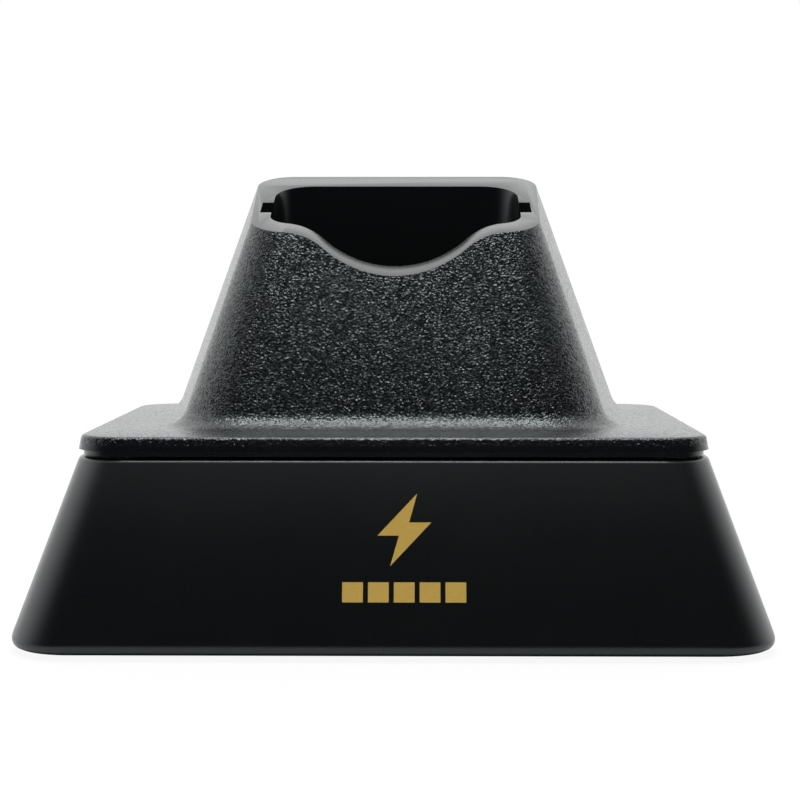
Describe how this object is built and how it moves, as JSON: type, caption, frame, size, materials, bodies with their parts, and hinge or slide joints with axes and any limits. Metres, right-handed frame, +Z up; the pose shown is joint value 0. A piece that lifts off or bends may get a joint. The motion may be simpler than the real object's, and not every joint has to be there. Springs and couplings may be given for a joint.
{
  "type": "hair clipper charging stand",
  "caption": "Flared desktop charging stand with a tapered tower, scooped slanted rim, open well with sprung contacts, and rear power inlet.",
  "frame": {"origin": "on the surface the stand rests on, below the middle of its footprint", "axes": "+Z up; -Y is the front with the scooped wall; +X is to the right when the front is on the left of +Y"},
  "size_m": [0.1154, 0.0904, 0.0743],
  "materials": {
    "textured_black": "injection-moulded ABS, coarse spark-eroded texture, slight gloss",
    "satin_black": "injection-moulded ABS, fine satin texture",
    "plain_black": "injection-moulded ABS, fine matt",
    "foot_rubber": "matt moulded rubber",
    "zinc_screw": "bright zinc plate",
    "ballast_steel": "cut mild steel plate, oiled",
    "contact_gold": "gold-plated brass",
    "spring_steel": "bright drawn spring wire",
    "nylon_natural": "natural nylon, moulded",
    "board_green": "glass-epoxy board with green solder mask",
    "black_component": "moulded black epoxy or PBT",
    "capacitor_sleeve": "dark blue shrink sleeve",
    "wire_red": "PVC insulation",
    "wire_black": "PVC insulation",
    "printed_gold": "pad-printed gold ink"
  },
  "bodies": {
    "stand": {"upper_housing": "textured_black", "skirt_base": "satin_black", "bottom_cover": "plain_black", "well_cup": "plain_black", "ballast_plate": "ballast_steel", "foot_front_left": "foot_rubber", "cover_screw_front_left": "zinc_screw", "cup_screw_front_left": "zinc_screw", "foot_front_right": "foot_rubber", "cover_screw_front_right": "zinc_screw", "cup_screw_front_right": "zinc_screw", "foot_rear_right": "foot_rubber", "cover_screw_rear_right": "zinc_screw", "cup_screw_rear_right": "zinc_screw", "foot_rear_left": "foot_rubber", "cover_screw_rear_left": "zinc_screw", "cup_screw_rear_left": "zinc_screw", "ballast_screw_left": "zinc_screw", "contact_sleeve_left": "contact_gold", "contact_spring_left": "spring_steel", "block_screw_left": "zinc_screw", "board_screw_left": "zinc_screw", "ballast_screw_right": "zinc_screw", "contact_sleeve_right": "contact_gold", "contact_spring_right": "spring_steel", "block_screw_right": "zinc_screw", "board_screw_right": "zinc_screw", "contact_wire_left": "wire_black", "contact_wire_right": "wire_red", "contact_block": "nylon_natural", "circuit_board": "board_green", "filter_capacitor": "capacitor_sleeve", "charge_control_chip": "black_component", "rectifier_diode": "black_component", "dc_jack_body": "black_component", "dc_jack_pin": "contact_gold"},
    "contact_left": {"contact_plunger_left": "contact_gold"},
    "contact_right": {"contact_plunger_right": "contact_gold"},
    "jack_leaf": {"dc_jack_leaf": "spring_steel"}
  },
  "joints": [
    {"name": "contact_left_travel", "type": "slide", "parent": "stand", "child": "contact_left", "axis": [0, 0, -1], "range_m": [0, 0.002], "stiffness_N_per_m": 500, "springref_m": -0.001, "deforming": ["contact_spring_left"]},
    {"name": "contact_right_travel", "type": "slide", "parent": "stand", "child": "contact_right", "axis": [0, 0, -1], "range_m": [0, 0.002], "stiffness_N_per_m": 500, "springref_m": -0.001, "deforming": ["contact_spring_right"]},
    {"name": "jack_leaf_flex", "type": "hinge", "parent": "stand", "child": "jack_leaf", "pos_m": [0, 0.0251, 0.01128], "axis": [-1, 0, 0], "range_deg": [0, 5], "stiffness_Nm_per_rad": 0.08, "springref_deg": -1.15}
  ]
}
